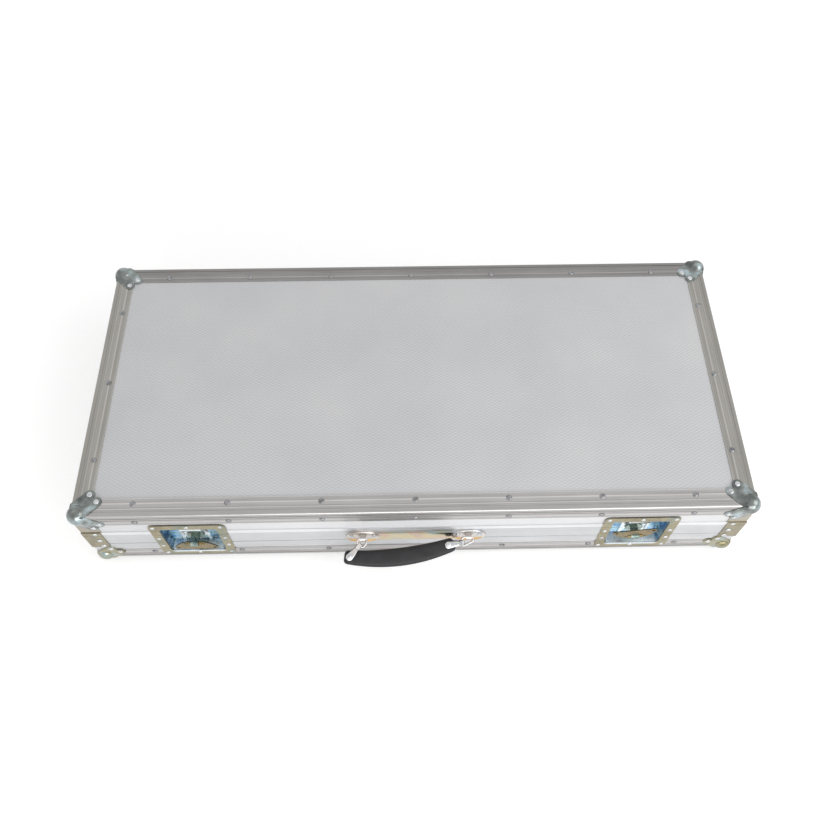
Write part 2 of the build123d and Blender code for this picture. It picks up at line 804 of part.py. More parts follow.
def knuckles(x, start, radius, spare, mode):
    for step in range(start, knuckle_count, 2):
        low_x = x - hinge_width / 2 + step * knuckle_pitch + knuckle_side_gap / 2 - spare
        width = knuckle_pitch - knuckle_side_gap + 2 * spare
        with BuildSketch(Plane(origin=(low_x, hinge_y, hinge_z), z_dir=(1, 0, 0))) as barrel_end:
            Circle(radius)
        extrude(barrel_end.sketch, amount=width, mode=mode)


for label, start, leaf_z in (
    ("base_hinge_leaves", 0, split_z - leaf_height),
    ("lid_hinge_leaves", 1, lid_bottom_z),
):
    with BuildPart() as leaves:
        for x in (-hinge_spacing, 0, hinge_spacing):
            with BuildSketch(Plane.XY.offset(leaf_z)):
                with Locations((x, rear_y)):
                    Rectangle(hinge_width, leaf_thickness, align=(Align.CENTER, Align.MIN))
            extrude(amount=leaf_height)
        for x in (-hinge_spacing, 0, hinge_spacing):
            knuckles(x, 1 - start, barrel_radius + barrel_clearance, knuckle_side_gap, Mode.SUBTRACT)
            knuckles(x, start, barrel_radius, 0.0, Mode.ADD)
            knuckles(x, start, hinge_pin_radius + hinge_pin_gap, knuckle_side_gap, Mode.SUBTRACT)
    save(leaves.part, label)

with BuildPart() as hinge_pins:
    for x in (-hinge_spacing, 0, hinge_spacing):
        with BuildSketch(Plane(origin=(x, hinge_y, hinge_z), z_dir=(1, 0, 0))):
            Circle(hinge_pin_radius)
        extrude(amount=hinge_width / 2, both=True)
save(hinge_pins.part, "hinge_pins")
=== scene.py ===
# Keyboard flight case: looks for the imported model. Metres, front face to -Y.
from math import cos, pi, radians, sin, sqrt, tan

import bmesh
import bpy
from mathutils import Euler, Matrix, Vector


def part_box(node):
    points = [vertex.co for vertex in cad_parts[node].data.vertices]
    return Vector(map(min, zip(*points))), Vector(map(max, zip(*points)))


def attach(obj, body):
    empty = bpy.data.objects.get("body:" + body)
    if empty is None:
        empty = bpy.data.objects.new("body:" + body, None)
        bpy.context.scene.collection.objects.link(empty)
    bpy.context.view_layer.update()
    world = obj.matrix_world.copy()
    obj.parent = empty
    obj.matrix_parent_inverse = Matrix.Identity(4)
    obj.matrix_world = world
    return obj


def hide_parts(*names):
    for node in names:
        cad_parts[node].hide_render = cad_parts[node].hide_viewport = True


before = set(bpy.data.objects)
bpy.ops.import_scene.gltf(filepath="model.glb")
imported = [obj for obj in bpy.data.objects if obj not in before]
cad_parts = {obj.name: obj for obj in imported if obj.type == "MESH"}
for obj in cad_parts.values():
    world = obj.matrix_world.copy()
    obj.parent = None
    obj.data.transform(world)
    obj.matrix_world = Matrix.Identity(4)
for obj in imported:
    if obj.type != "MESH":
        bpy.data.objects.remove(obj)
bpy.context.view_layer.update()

# Places, read from the solids where they give them
edge_low, edge_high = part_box("base_front_edge")
FRONT, REAR = edge_low.y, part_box("base_rear_edge")[1].y
SIDE = edge_high.x
BOTTOM, TOP = edge_low.z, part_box("lid_front_edge")[1].z
SPLIT_GAP = 0.0004
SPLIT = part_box("lid_front_rim")[0].z - SPLIT_GAP
MID = (FRONT + REAR) / 2
HALF_DEPTH = (REAR - FRONT) / 2
PLATE = 0.0012  # thickness of sheet steel
LEG = 0.030  # width of the edging
LATCH_X = 0.347  # middle of a latch
CORNERS = [(-1, -1), (1, -1), (1, 1), (-1, 1)]

# Colours and directions of grain
WHITE = (1, 1, 1, 1)
ALONG_X, ALONG_Y, ALONG_Z = (1, 60, 60), (60, 1, 60), (60, 60, 1)


def grey(level):
    return (level, level, level, 1)


def linear(value):
    # One screen value from 0 to 255, as linear light
    if value > 10:
        return ((value / 255 + 0.055) / 1.055) ** 2.4
    return value / 255 / 12.92


def srgb(red, green, blue):
    return (linear(red), linear(green), linear(blue), 1)


# Materials
WAVE_UNIT = 0.314  # a wave texture of scale 1 repeats after this length
MIX_FACTOR, MIX_FIRST, MIX_SECOND, MIX_RESULT = 0, 6, 7, 2  # the sockets of a mix of colours
STREAK_DEPTH, SPOT_DEPTH = 0.00006, 0.00004  # depths of bump on metal


class Finish:
    """A Principled shader with a few procedural layers, in object coordinates."""

    def __init__(self, name, metal=0.0, rough=0.4, **values):
        self.material = bpy.data.materials.new(name)
        self.material.use_nodes = True
        self.tree = self.material.node_tree
        self.tree.nodes.clear()
        self.output = self.node("ShaderNodeOutputMaterial")
        self.shader = self.node("ShaderNodeBsdfPrincipled")
        self.shader.inputs["Metallic"].default_value = metal
        self.shader.inputs["Roughness"].default_value = rough
        for key, value in values.items():
            self.shader.inputs[key.replace("_", " ")].default_value = value
        self.link(self.shader.outputs[0], self.output.inputs[0])
        self.place = self.node("ShaderNodeTexCoord").outputs["Object"]

    def node(self, kind, **settings):
        made = self.tree.nodes.new(kind)
        for key, value in settings.items():
            setattr(made, key, value)
        return made

    def link(self, start, end):
        self.tree.links.new(start, end)

    def feed(self, end, value):
        # A plain value is set, and another node's output is linked
        if isinstance(value, (int, float, tuple)):
            end.default_value = value
        else:
            self.link(value, end)

    def mapped(self, scale=(1, 1, 1), turn=(0, 0, 0)):
        made = self.node("ShaderNodeMapping")
        self.link(self.place, made.inputs["Vector"])
        made.inputs["Scale"].default_value = scale
        made.inputs["Rotation"].default_value = turn
        return made.outputs[0]

    def noise(self, scale, detail=3.0, stretch=(1, 1, 1), rough=0.5, turn=(0, 0, 0)):
        made = self.node("ShaderNodeTexNoise")
        self.link(self.mapped(stretch, turn), made.inputs["Vector"])
        made.inputs["Scale"].default_value = scale
        made.inputs["Detail"].default_value = detail
        made.inputs["Roughness"].default_value = rough
        return made.outputs[0]

    def voronoi(self, scale):
        made = self.node("ShaderNodeTexVoronoi")
        self.link(self.place, made.inputs["Vector"])
        made.inputs["Scale"].default_value = scale
        return made.outputs[0]

    def wave(self, period, turn):
        # Sine stripes along the turned X axis, from 0 to 1
        made = self.node("ShaderNodeTexWave", bands_direction="X")
        self.link(self.mapped(turn=turn), made.inputs["Vector"])
        made.inputs["Scale"].default_value = WAVE_UNIT / period
        return made.outputs["Fac"]

    def axis(self, letter):
        made = self.node("ShaderNodeSeparateXYZ")
        self.link(self.place, made.inputs[0])
        return made.outputs[letter]

    def span(self, value, low, high, to_low=0.0, to_high=1.0):
        made = self.node("ShaderNodeMapRange")
        self.link(value, made.inputs["Value"])
        ends = {"From Min": low, "From Max": high, "To Min": to_low, "To Max": to_high}
        for key, number in ends.items():
            made.inputs[key].default_value = number
        return made.outputs[0]

    def math(self, first, second, how="ADD"):
        made = self.node("ShaderNodeMath", operation=how)
        self.feed(made.inputs[0], first)
        self.feed(made.inputs[1], second)
        return made.outputs[0]

    def distance(self, value, middle):
        # How far a value is from a middle, on either side
        return self.math(self.math(value, middle, "SUBTRACT"), 0.0, "ABSOLUTE")

    def ramp(self, value, *stops):
        made = self.node("ShaderNodeValToRGB")
        self.link(value, made.inputs[0])
        table = made.color_ramp.elements
        while len(table) < len(stops):
            table.new(0.5)
        for element, (at, colour) in zip(table, stops):
            element.position = at
            element.color = colour
        return made.outputs[0]

    def mix(self, factor, first, second, how="MIX"):
        made = self.node("ShaderNodeMix", data_type="RGBA", blend_type=how)
        self.feed(made.inputs[MIX_FACTOR], factor)
        self.feed(made.inputs[MIX_FIRST], first)
        self.feed(made.inputs[MIX_SECOND], second)
        return made.outputs[MIX_RESULT]

    def colour(self, value):
        self.link(value, self.shader.inputs["Base Color"])

    def roughness(self, value, low, high):
        # Roughness from low to high, over the middle part of a texture's values
        self.link(self.span(value, 0.3, 0.7, low, high), self.shader.inputs["Roughness"])

    def bump(self, height, depth, strength):
        made = self.node("ShaderNodeBump")
        made.inputs["Strength"].default_value = strength
        made.inputs["Distance"].default_value = depth
        self.link(height, made.inputs["Height"])
        for chain in self.shader.inputs["Normal"].links:
            self.link(chain.from_socket, made.inputs["Normal"])
        self.link(made.outputs[0], self.shader.inputs["Normal"])


def laminate(name, dimple_shade_amount, strength):
    # Stucco laminate: dimples in three directions at 60 degrees, their hollows darkened as painted shade,
    # and light scuffs
    made = Finish(name, rough=0.36, Specular_IOR_Level=0.4)
    period, third = 0.0046, radians(60)
    one, two, three = (made.wave(period, turn) for turn in ((0, 0, third), (0, 0, -third), (third, 0, 0)))
    dimple = made.math(made.math(one, two, "MULTIPLY"), made.math(three, 0.3, "MULTIPLY"))
    tone = made.ramp(made.noise(7.0, 4.0), (0.3, srgb(209, 210, 212)), (0.7, srgb(218, 218, 219)))
    # Painted shade in the dimples' hollows, by the given amount
    painted_dimple_shade = made.ramp(dimple, (0.1, srgb(150, 151, 154)), (0.8, WHITE))
    made.colour(made.mix(dimple_shade_amount, tone, painted_dimple_shade, "MULTIPLY"))
    scuff = made.noise(40.0, 5.0, (1, 6, 1), turn=(0, 0, radians(25)))
    made.roughness(scuff, 0.30, 0.46)
    made.bump(dimple, 0.0003, strength)
    return made.material


def streaked(made, dark, light, along, rough):
    # Long fine streaks along one direction, with a little cloud between them
    streak = made.noise(9.0, 5.0, along, 0.6)
    cloud = made.noise(14.0, 3.0)
    both = made.math(made.math(streak, 0.7, "MULTIPLY"), made.math(cloud, 0.3, "MULTIPLY"))
    made.roughness(streak, rough - 0.07, rough + 0.1)
    made.bump(streak, STREAK_DEPTH, 0.5)
    return made.ramp(both, (0.32, srgb(*dark)), (0.68, srgb(*light)))


def drawn_metal(name, dark, light, rough=0.32, along=ALONG_X):
    made = Finish(name, metal=1.0, rough=rough)
    made.colour(streaked(made, dark, light, along, rough))
    return made.material


# Ribs of the edging, paled as painted highlights at the outer corner, on the ribs and at the inner lip:
# shares of a leg in from its outer corner, and the tone there
RIBS_AND_HIGHLIGHTS = (
    (0.05, 1), (0.08, 0.66), (0.30, 0.7), (0.40, 0.64), (0.42, 1), (0.46, 1), (0.48, 0.72),
    (0.68, 0.76), (0.70, 1), (0.74, 1), (0.77, 0.66), (0.96, 0.74), (0.99, 1),
)


def extrusion(name, dark, light, across, along):
    # Edging with raised ribs at set distances from its outer corner, painted pale as highlights, with the
    # same pattern as their bump
    rough = 0.3
    made = Finish(name, metal=1.0, rough=rough)
    tone = streaked(made, dark, light, along, rough)
    half, middle = (SIDE, 0.0) if across == "X" else (HALF_DEPTH, MID)
    flat = made.math(half, made.distance(made.axis(across), middle), "SUBTRACT")
    height = made.axis("Z")
    over = made.math(height, BOTTOM, "SUBTRACT")
    under = made.math(TOP, height, "SUBTRACT")
    away = made.math(made.math(flat, made.math(over, under, "MINIMUM")), 1 / LEG, "MULTIPLY")
    rib_and_highlight = made.ramp(away, *((at, grey(level)) for at, level in RIBS_AND_HIGHLIGHTS))
    made.colour(made.mix(1.0, tone, rib_and_highlight, "MULTIPLY"))
    made.bump(rib_and_highlight, 0.0004, 0.4)
    return made.material


def plated(name, first, second, third, rough=0.28, scale=38.0):
    # Zinc plating with a passivation tint that drifts between three colours
    made = Finish(name, metal=1.0, rough=rough)
    drift = made.noise(scale, 2.5)
    made.colour(made.ramp(drift, (0.34, srgb(*first)), (0.5, srgb(*second)), (0.66, srgb(*third))))
    spot = made.noise(420.0, 2.0)
    made.roughness(spot, rough - 0.06, rough + 0.1)
    made.bump(spot, SPOT_DEPTH, 0.4)
    return made.material


def latch_dish():
    # Olive flange on the face, blue-teal down in the recess, and a painted highlight along the lower lip
    made = Finish("latch_dish", metal=1.0, rough=0.26)
    drift = made.noise(30.0, 2.5)
    flange = made.ramp(
        drift, (0.35, srgb(136, 127, 100)), (0.5, srgb(156, 147, 118)), (0.66, srgb(134, 137, 120)),
    )
    tint = made.noise(34.0, 2.0, (1, 1, 1.6))
    inside = made.ramp(
        tint, (0.3, srgb(62, 108, 154)), (0.44, srgb(104, 152, 190)), (0.56, srgb(168, 196, 212)),
        (0.72, srgb(106, 146, 146)),
    )
    # The painted highlight on the lip lies 60 to 70 mm below the split, and 44 mm to either side of the
    # latch's middle
    recess = made.span(made.axis("Y"), FRONT - 0.0004, FRONT + 0.003)
    height = made.axis("Z")
    above = made.span(height, SPLIT - 0.0706, SPLIT - 0.0680)
    below = made.span(height, SPLIT - 0.0600, SPLIT - 0.0606)
    sideways = made.distance(made.distance(made.axis("X"), 0.0), LATCH_X)
    within = made.span(sideways, 0.0436, 0.0370)
    lip_highlight = made.math(made.math(above, below, "MULTIPLY"), within, "MULTIPLY")
    made.colour(made.mix(lip_highlight, made.mix(recess, flange, inside), srgb(224, 230, 234)))
    made.roughness(made.noise(70.0, 2.0), 0.2, 0.36)
    return made.material


def handle_metal():
    # Nickel, tinted gold at the lower side of the plate as painted shade, with a pinkish-gold strap between
    # its ends
    made = Finish("handle_nickel", metal=1.0, rough=0.2)
    drift = made.noise(30.0, 2.5)
    nickel = made.ramp(
        drift, (0.34, srgb(176, 166, 156)), (0.5, srgb(208, 202, 198)), (0.66, srgb(184, 188, 192)),
    )
    painted_gold_shade = made.ramp(drift, (0.34, srgb(196, 158, 104)), (0.66, srgb(214, 180, 130)))
    band = made.ramp(
        drift, (0.34, srgb(196, 172, 158)), (0.5, srgb(206, 190, 156)), (0.66, srgb(176, 188, 178)),
    )
    # Painted gold shade from 26 mm below the split, and the strap reaches 56 mm from the middle
    low = made.span(made.axis("Z"), SPLIT - 0.0262, SPLIT - 0.0290)
    near = made.span(made.axis("Y"), FRONT - 0.0036, FRONT - 0.0030)
    strap = made.span(made.distance(made.axis("X"), 0.0), 0.0565, 0.0555)
    oval = made.mix(made.math(low, near, "MULTIPLY"), nickel, painted_gold_shade)
    made.colour(made.mix(made.math(strap, near, "MULTIPLY"), oval, band))
    spot = made.noise(420.0, 2.0)
    made.roughness(spot, 0.14, 0.30)
    made.bump(spot, SPOT_DEPTH, 0.4)
    return made.material


def rubber(name, tone, grain, rough):
    # Pebbled rubber with a little dust, 14 screen values paler
    made = Finish(name, rough=rough, Specular_IOR_Level=0.35)
    dust = made.noise(60.0, 4.0)
    made.colour(made.ramp(dust, (0.35, srgb(*tone)), (0.7, srgb(*(c + 14 for c in tone)))))
    made.roughness(dust, rough - 0.08, rough + 0.12)
    made.bump(made.voronoi(grain), 0.00012, 0.6)
    return made.material


def foam_skin():
    made = Finish("open_cell_foam", rough=0.95, Specular_IOR_Level=0.1)
    cell = made.voronoi(520.0)
    # Darker in the pores as painted shade, varied by a noise
    pore_shade = made.math(cell, made.noise(260.0, 4.0), "MULTIPLY")
    made.colour(made.ramp(pore_shade, (0.05, srgb(26, 26, 29)), (0.4, srgb(66, 66, 71))))
    made.bump(cell, 0.0006, 0.9)
    return made.material


PANEL = laminate("silver_laminate", 0.14, 0.8)
PANEL_SIDE = laminate("silver_laminate_side", 0.02, 0.12)
# One edging metal in three copies: the rear copy darker, and the side copy a little darker and warmer, as
# painted shade
EDGE_X = extrusion("edge_metal_front", (190, 187, 185), (212, 210, 209), "Y", ALONG_X)
EDGE_REAR_SHADED = extrusion("edge_metal_rear_painted_shade", (152, 149, 147), (176, 174, 173), "Y", ALONG_X)
EDGE_SIDE_SHADED = extrusion("edge_metal_side_painted_shade", (172, 169, 163), (192, 189, 184), "X", ALONG_Y)
EDGE_Z = drawn_metal("post_metal", (150, 144, 130), (180, 174, 160), along=ALONG_Z)
RIM_X = drawn_metal("rim_metal_long", (182, 184, 186), (212, 213, 215), rough=0.36)
RIM_Y = drawn_metal("rim_metal_side", (176, 173, 170), (208, 206, 204), rough=0.36, along=ALONG_Y)
LIP_X = drawn_metal("lid_lip_metal", (214, 215, 217), (234, 234, 236), rough=0.4)
# The upper balls' plating tint drifts wide, from dark grey to pale blue, as painted reflection
BALL = plated("plated_ball", (92, 97, 97), (132, 137, 134), (170, 184, 188), 0.2, 46.0)
BALL_LOW = plated("plated_ball_low", (124, 118, 92), (158, 154, 128), (158, 172, 172), 0.2, 46.0)
BRACE = plated("plated_brace", (126, 118, 98), (152, 144, 121), (122, 121, 110), 0.3)
RIVET = plated("bright_rivet", (176, 178, 180), (212, 213, 214), (164, 170, 176), 0.2, 90.0)
STUD = plated("grey_rivet", (120, 120, 122), (158, 158, 160), (112, 114, 118), 0.24, 110.0)
DISH = latch_dish()
WING = plated("latch_wing", (112, 96, 64), (136, 119, 82), (112, 104, 76), 0.25, 60.0)
STEEL = plated("latch_steel", (190, 204, 212), (236, 240, 242), (156, 186, 190), 0.18, 26.0)
HUB = plated("latch_hub", (112, 130, 124), (156, 172, 166), (128, 138, 120), 0.22, 60.0)
HANDLE = handle_metal()
HINGE = plated("hinge_steel", (150, 148, 138), (178, 176, 166), (140, 143, 143))
GRIP = rubber("grip_rubber", (28, 28, 30), grain=1100.0, rough=0.42)
FOOT = rubber("foot_rubber", (24, 24, 25), grain=700.0, rough=0.62)
FOAM = foam_skin()


# Pieces
def piece(name, mesh_maker, finish, body, nodes=(), smooth=40):
    mesh = bpy.data.meshes.new(name)
    build = bmesh.new()
    mesh_maker(build)
    bmesh.ops.recalc_face_normals(build, faces=build.faces)
    build.to_mesh(mesh)
    build.free()
    made = bpy.data.objects.new(name, mesh)
    bpy.context.scene.collection.objects.link(made)
    mesh.materials.append(finish)
    mesh.shade_smooth()
    mesh.set_sharp_from_angle(angle=radians(smooth))
    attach(made, body)
    if nodes:
        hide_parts(*nodes)
    return made


def bridge(build, low, high):
    # Faces between two rings with as many vertices
    count = len(low)
    for at in range(count):
        after = (at + 1) % count
        build.faces.new((low[at], low[after], high[after], high[at]))


def lathe(build, centre, normal, profile, steps):
    # Rings of (radius, height) around a normal; a zero radius closes the end
    up = Vector(normal).normalized()
    first = up.orthogonal().normalized()
    second = up.cross(first).normalized()
    rings = []
    for radius, height in profile:
        middle = Vector(centre) + up * height
        turns = [2 * pi * step / steps for step in range(steps)] if radius else [0]
        rings.append([
            build.verts.new(middle + (first * cos(turn) + second * sin(turn)) * radius) for turn in turns
        ])
    for low, high in zip(rings, rings[1:]):
        if len(low) == len(high):
            bridge(build, low, high)
            continue
        tip, ring = (low[0], high) if len(low) == 1 else (high[0], low)
        for step in range(steps):
            build.faces.new((tip, ring[step], ring[(step + 1) % steps]))


def dome(build, centre, normal, radius, height, steps=20):
    profile = [(radius * 0.98, -height * 0.1), (radius, height * 0.12)]
    for step in range(1, 6):
        turn = step / 6 * pi / 2
        profile.append((radius * cos(turn) ** 0.8, height * (0.12 + 0.88 * sin(turn))))
    profile.append((0, height))
    lathe(build, centre, normal, profile, steps)


def rivets(name, spots, head, body, nodes=(), finish=RIVET):
    # Domed heads of (radius, height) at spots of (centre, normal)
    def make(build):
        for centre, normal in spots:
            dome(build, centre, normal, *head)

    piece(name, make, finish, body, nodes)


def inset(outline, amount):
    # A closed outline moved inwards by an amount, corner by corner
    moved = []
    count = len(outline)
    area = sum(a[0] * b[1] - b[0] * a[1] for a, b in zip(outline, outline[1:] + outline[:1]))
    sign = 1 if area > 0 else -1
    for at in range(count):
        before, here, after = Vector(outline[at - 1]), Vector(outline[at]), Vector(outline[(at + 1) % count])
        one, two = (here - before).normalized(), (after - here).normalized()
        left = Vector((-one.y, one.x)) * sign
        other = Vector((-two.y, two.x)) * sign
        both = (left + other).normalized()
        moved.append(tuple(here + both * (amount / max(0.5, both.dot(left)))))
    return moved


def plate(build, outline, origin, right, up, thickness):
    # A flat plate with softened upper edges, standing out along right x up
    right, up = Vector(right), Vector(up)
    out = right.cross(up)
    soft, slight = 0.0004, 0.00012
    layers = [
        (outline, 0.0),
        (outline, thickness - soft),
        (inset(outline, slight), thickness - slight),
        (inset(outline, soft), thickness),
    ]
    loops = []
    for points, height in layers:
        base = Vector(origin) + out * height
        loops.append([build.verts.new(base + right * x + up * y) for x, y in points])
    for low, high in zip(loops, loops[1:]):
        bridge(build, low, high)
    build.faces.new(loops[-1])
    build.faces.new(loops[0][::-1])


def arc(centre, radius, start, end, steps=14):
    # Points on a circle between two angles in degrees
    turns = [radians(start + (end - start) * step / steps) for step in range(steps + 1)]
    return [(centre[0] + radius * cos(turn), centre[1] + radius * sin(turn)) for turn in turns]


# Rivet heads along the edging
RIVET_PITCH, RIVET_INSET, LATCH_CLEAR = 0.1397, 0.021, 0.058
EDGE_HEAD = (0.0046, 0.0019)


def edge_rivets(level, out, lid):
    # Rivets on both legs of the edging round one half, except under a latch
    spots = []
    for sign, y in ((-1, FRONT), (1, REAR)):
        for step in range(-3, 4):
            x = step * RIVET_PITCH
            spots.append(((x, y - sign * RIVET_INSET, level), (0, 0, out)))
            if lid or sign > 0 or abs(abs(x) - LATCH_X) > LATCH_CLEAR:
                spots.append(((x, y, level - out * RIVET_INSET), (0, sign, 0)))
    for sign in (-1, 1):
        for step in (-1, 0, 1):
            y = MID + step * RIVET_PITCH
            spots.append(((sign * (SIDE - RIVET_INSET), y, level), (0, 0, out)))
            spots.append(((sign * SIDE, y, level - out * RIVET_INSET), (sign, 0, 0)))
    return spots


rivets("base_rivet_heads", edge_rivets(BOTTOM, -1, False), EDGE_HEAD, "base", ["base_rivets"], STUD)
rivets("lid_rivet_heads", edge_rivets(TOP, 1, True), EDGE_HEAD, "lid", ["lid_rivets"], STUD)

# Ball corners: a pressed ball, three petals with two lobes each, and their rivets
LOBE, NEAR, FAR = 0.008, 0.025, 0.037  # radius of a lobe, and its middle's way in from both edges
ROOT_CUT = 0.004  # cut off the petal's root at the corner
BALL_RADIUS, BALL_IN, BALL_STEPS = 0.0155, 0.0088, 24
CORNER_HEAD = (0.0042, 0.0016)
ROOT = FAR - NEAR + 2 * LOBE * cos(radians(45)) - PLATE
PETAL = (
    [(ROOT_CUT, -PLATE), (ROOT, -PLATE)]
    + arc((FAR, NEAR), LOBE, -45, 132)
    + arc((NEAR, FAR), LOBE, -42, 135)
    + [(-PLATE, ROOT), (-PLATE, ROOT_CUT)]
)
CORNER_FACES = ((0, 1, 2), (0, 2, 1), (1, 2, 0))  # two directions in a face, and the one square to it


def corner_frames(level, up):
    # The point of each corner, and its three directions into the case
    for sx, sy in CORNERS:
        point = Vector((sx * SIDE, MID + sy * HALF_DEPTH, level))
        yield point, [Vector((-sx, 0, 0)), Vector((0, -sy, 0)), Vector((0, 0, up))]


def corner_balls(level, up):
    turns = [pi * step / BALL_STEPS for step in range(1, BALL_STEPS)]
    profile = [(BALL_RADIUS * sin(turn), -BALL_RADIUS * cos(turn)) for turn in turns]
    profile = [(0, -BALL_RADIUS)] + profile + [(0, BALL_RADIUS)]

    def make(build):
        for point, inner in corner_frames(level, up):
            for one, two, three in CORNER_FACES:
                first, second, out = inner[one], inner[two], -inner[three]
                if first.cross(second).dot(out) < 0:
                    first, second = second, first
                plate(build, PETAL, point, first, second, PLATE)
            diagonal = sum(inner, Vector())
            lathe(build, point + diagonal * BALL_IN, diagonal, profile, 36)

    return make


def petal_rivets(level, up):
    spots = []
    for point, inner in corner_frames(level, up):
        for one, two, three in CORNER_FACES:
            for a, b in ((FAR, NEAR), (NEAR, FAR)):
                spot = point + inner[one] * a + inner[two] * b - inner[three] * PLATE
                spots.append((spot, -inner[three]))
    return spots


for body, level, up, finish in (("base", BOTTOM, 1, BALL_LOW), ("lid", TOP, -1, BALL)):
    piece(f"{body}_balls", corner_balls(level, up), finish, body, [f"{body}_ball_corners"])
    rivets(f"{body}_petal_rivets", petal_rivets(level, up), CORNER_HEAD, body)

# Rivets on the corner braces
BRACE_IN = 0.019
BRACE_ROWS = ((0.051, "base"), (0.072, "base"), (0.096, "lid"))
BRACE_HEADS = {"base": CORNER_HEAD, "lid": (0.0038, 0.0015)}
brace_spots = {"base": [], "lid": []}
for sx, sy in CORNERS:
    for height, body in BRACE_ROWS:
        level = BOTTOM + height
        front_spot = (sx * (SIDE - BRACE_IN), MID + sy * (HALF_DEPTH + PLATE), level)
        side_spot = (sx * (SIDE + PLATE), MID + sy * (HALF_DEPTH - BRACE_IN), level)
        brace_spots[body] += [(front_spot, (0, sy, 0)), (side_spot, (sx, 0, 0))]
for body, spots in brace_spots.items():
    rivets(f"{body}_brace_rivets", spots, BRACE_HEADS[body], body)

# Rivets on the latch flanges: across from the latch's middle, up from the split
FLANGE_HEAD = (0.0036, 0.0013)
FLANGE_SIDE = 0.0512
FLANGE_ROWS = {"base": ((-0.071, -0.042, -0.014), -0.0712), "lid": ((0.027,), 0.0272)}
for body, (side_rows, middle_row) in FLANGE_ROWS.items():
    places = [(across, up) for across in (-FLANGE_SIDE, FLANGE_SIDE) for up in side_rows]
    places.append((0, middle_row))
    spots = [
        ((middle + across, FRONT - PLATE, SPLIT + up), (0, -1, 0))
        for middle in (-LATCH_X, LATCH_X) for across, up in places
    ]
    rivets(f"flange_rivets_{body}", spots, FLANGE_HEAD, body)

# Materials of the solids that stay
STAY = {
    "lid_corner_posts": EDGE_Z, "base_corner_braces": BRACE, "lid_corner_braces": BRACE,
    "latch_lower_dishes": DISH, "latch_upper_dishes": DISH, "latch_guides": STEEL, "latch_keepers": STEEL,
    "base_hinge_leaves": HINGE, "lid_hinge_leaves": HINGE, "hinge_pins": STEEL,
    "handle_plate": HANDLE, "handle_clips": HANDLE,
}
for half, front_rim in (("base", RIM_X), ("lid", LIP_X)):
    STAY[f"{half}_front_edge"] = EDGE_X
    STAY[f"{half}_rear_edge"] = EDGE_REAR_SHADED
    STAY[f"{half}_front_rim"] = front_rim
    STAY[f"{half}_rear_rim"] = RIM_X
    for hand in ("left", "right"):
        STAY[f"{half}_{hand}_edge"] = EDGE_SIDE_SHADED
        STAY[f"{half}_{hand}_rim"] = RIM_Y
for hand in ("left", "right"):
    STAY[f"{hand}_latch_hook"] = STEEL
    STAY[f"{hand}_latch_spindle"] = HUB
    STAY[f"{hand}_latch_pin"] = STEEL
    STAY[f"{hand}_latch_wing"] = WING
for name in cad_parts:
    if name.endswith("_panel"):
        STAY[name] = PANEL if "top" in name or "floor" in name else PANEL_SIDE
for name, finish in STAY.items():
    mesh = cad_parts[name].data
    mesh.materials.clear()
    mesh.materials.append(finish)

# Handle: its own plane hangs from the pivot at an angle, x to the right and y up
PIVOT_OUT, PIVOT_Z = 0.004446, SPLIT - 0.0205
DROOP = radians(30)
HANDLE_PLACE = Matrix((
    (1, 0, 0, 0),
    (0, cos(DROOP), -sin(DROOP), FRONT - PIVOT_OUT),
    (0, sin(DROOP), cos(DROOP), PIVOT_Z),
    (0, 0, 0, 1),
))
HANDLE_TURN = HANDLE_PLACE.to_3x3()
HANDLE_UP = HANDLE_TURN @ Vector((0, 0, 1))

# Bridges on the plate, bars of the links, and rivets at the grip's ends, left and right
BRIDGE_X = 0.083
STAPLES = [Vector((-BRIDGE_X, 0)), Vector((BRIDGE_X, 0))]
BARS = [STAPLES[0] - Vector((0.0052, 0.0105)), STAPLES[1] - Vector((0.0105, 0.0082))]
ENDS = [STAPLES[0] - Vector((0.0202, 0.0268)), STAPLES[1] - Vector((0.0317, 0.0109))]


def in_handle(x, y, z=0.0):
    return HANDLE_PLACE @ Vector((x, y, z))


def rounded_loop(points, radius, steps=6):
    # A closed polygon with its corners turned into arcs
    loop = []
    count = len(points)
    for at in range(count):
        here = points[at]
        before, after = points[at - 1] - here, points[(at + 1) % count] - here
        one, two = before.normalized(), after.normalized()
        reach = min(radius / tan(one.angle(two) / 2), before.length / 2, after.length / 2)
        start, end = here + one * reach, here + two * reach
        for step in range(steps + 1):
            t = step / steps
            loop.append(start * (1 - t) ** 2 + here * (2 * t * (1 - t)) + end * t ** 2)
    return loop


def ring_tube(build, path, radius, sides=14):
    # A round wire along a closed path that lies in the handle's plane
    rings = []
    count = len(path)
    turns = [2 * pi * side / sides for side in range(sides)]
    for at in range(count):
        along = (path[(at + 1) % count] - path[at - 1]).normalized()
        across = along.cross(HANDLE_UP).normalized()
        rings.append([
            build.verts.new(path[at] + across * radius * cos(turn) + HANDLE_UP * radius * sin(turn))
            for turn in turns
        ])
    for low, high in zip(rings, rings[1:] + rings[:1]):
        bridge(build, low, high)


def bails(build):
    # Links of round wire, through a bridge at one end and a clip at the other
    in_bridge, wire, bend = 0.0067, 0.0017, 0.003
    for staple, bar, end in zip(STAPLES, BARS, ENDS):
        lean = (end - bar).normalized()
        across = Vector((-lean.y, lean.x))
        corners = [
            staple + Vector((in_bridge, 0)), staple - Vector((in_bridge, 0)),
            bar - across * 0.0052, bar + across * 0.0064, staple + Vector((in_bridge, -0.0066)),
        ]
        ring_tube(build, [in_handle(p.x, p.y) for p in rounded_loop(corners, bend)], wire)


piece("handle_links", bails, HANDLE, "handle", ["handle_bails"])

